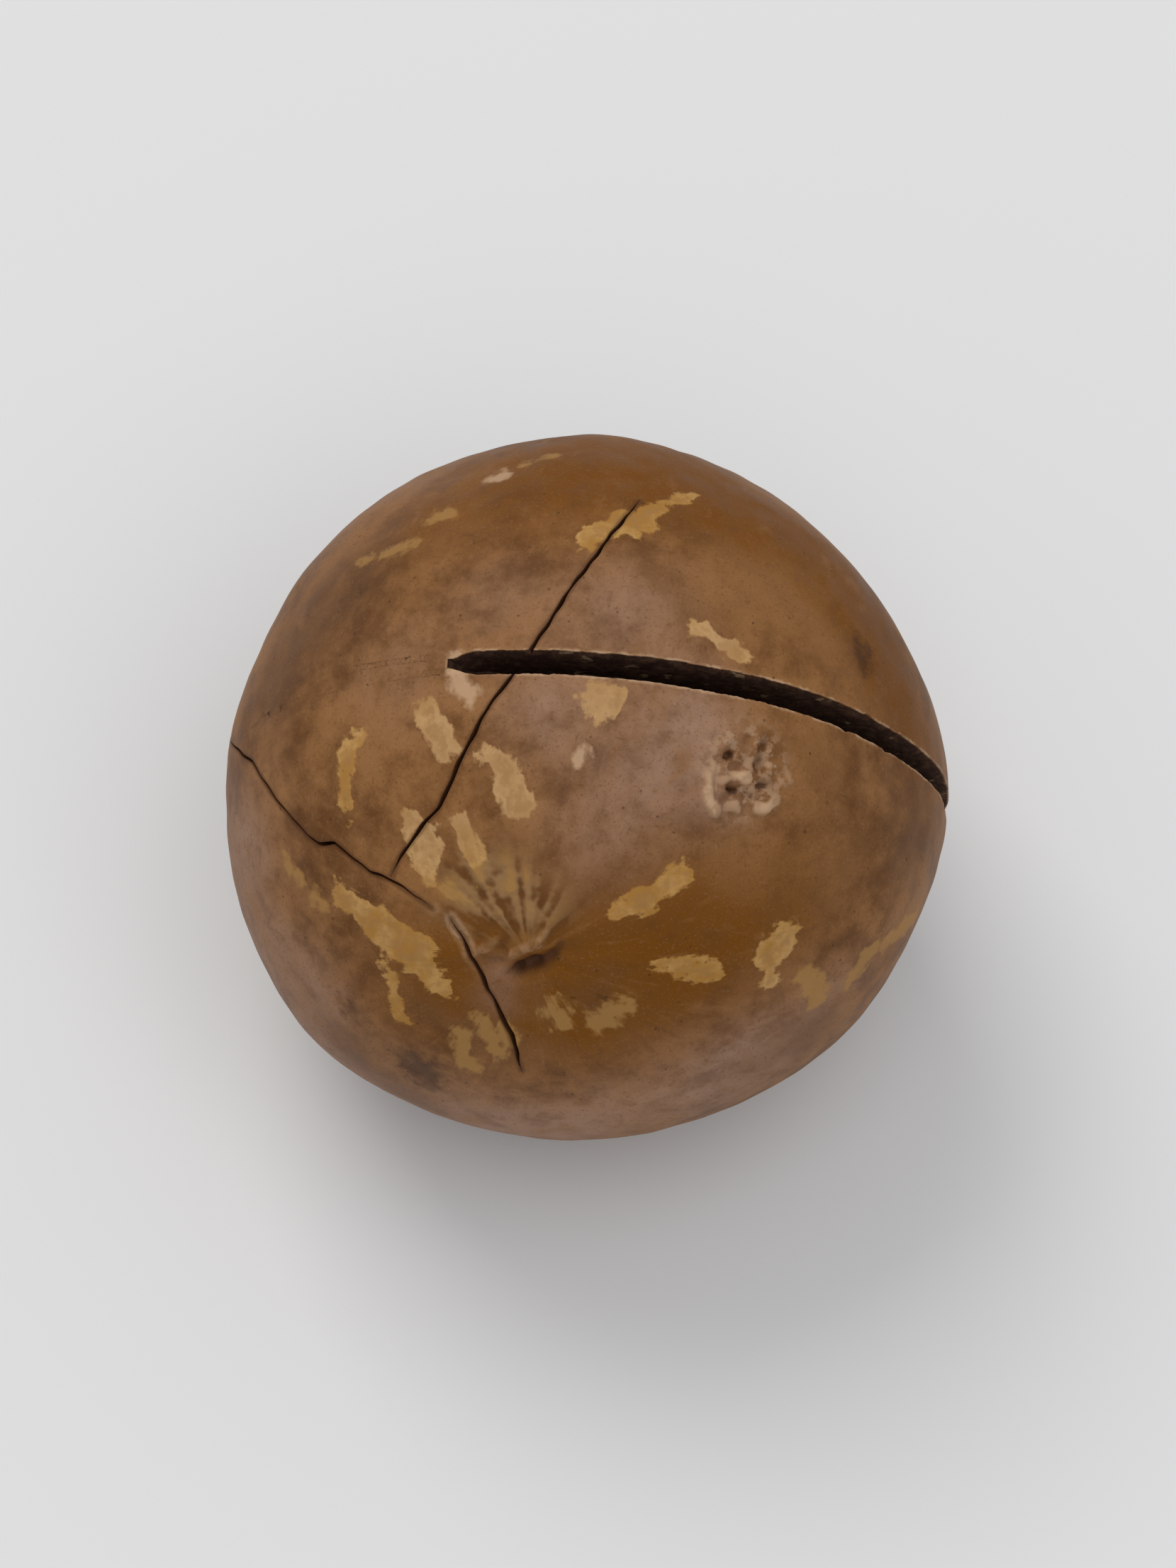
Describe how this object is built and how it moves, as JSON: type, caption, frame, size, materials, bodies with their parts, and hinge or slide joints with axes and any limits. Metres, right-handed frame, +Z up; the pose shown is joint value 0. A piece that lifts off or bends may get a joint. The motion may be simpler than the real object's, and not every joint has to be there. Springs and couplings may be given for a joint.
{
  "type": "macadamia nut",
  "caption": "Round macadamia nut in its hard shell, slit most of the way over by a thin saw cut, with hairline cracks and a flat spot to rest on.",
  "frame": {"origin": "bottom centre of the nut's box, on the surface it rests on, under its flat spot", "axes": "+Z up, +X along the saw cut towards the side it runs down, +Y across the cut towards the back"},
  "size_m": [0.0254, 0.0248, 0.0241],
  "materials": {
    "shell": "smooth satin roasted nutshell, brown with golden flecks"
  },
  "bodies": {
    "root": {"nut": "shell"}
  },
  "joints": []
}
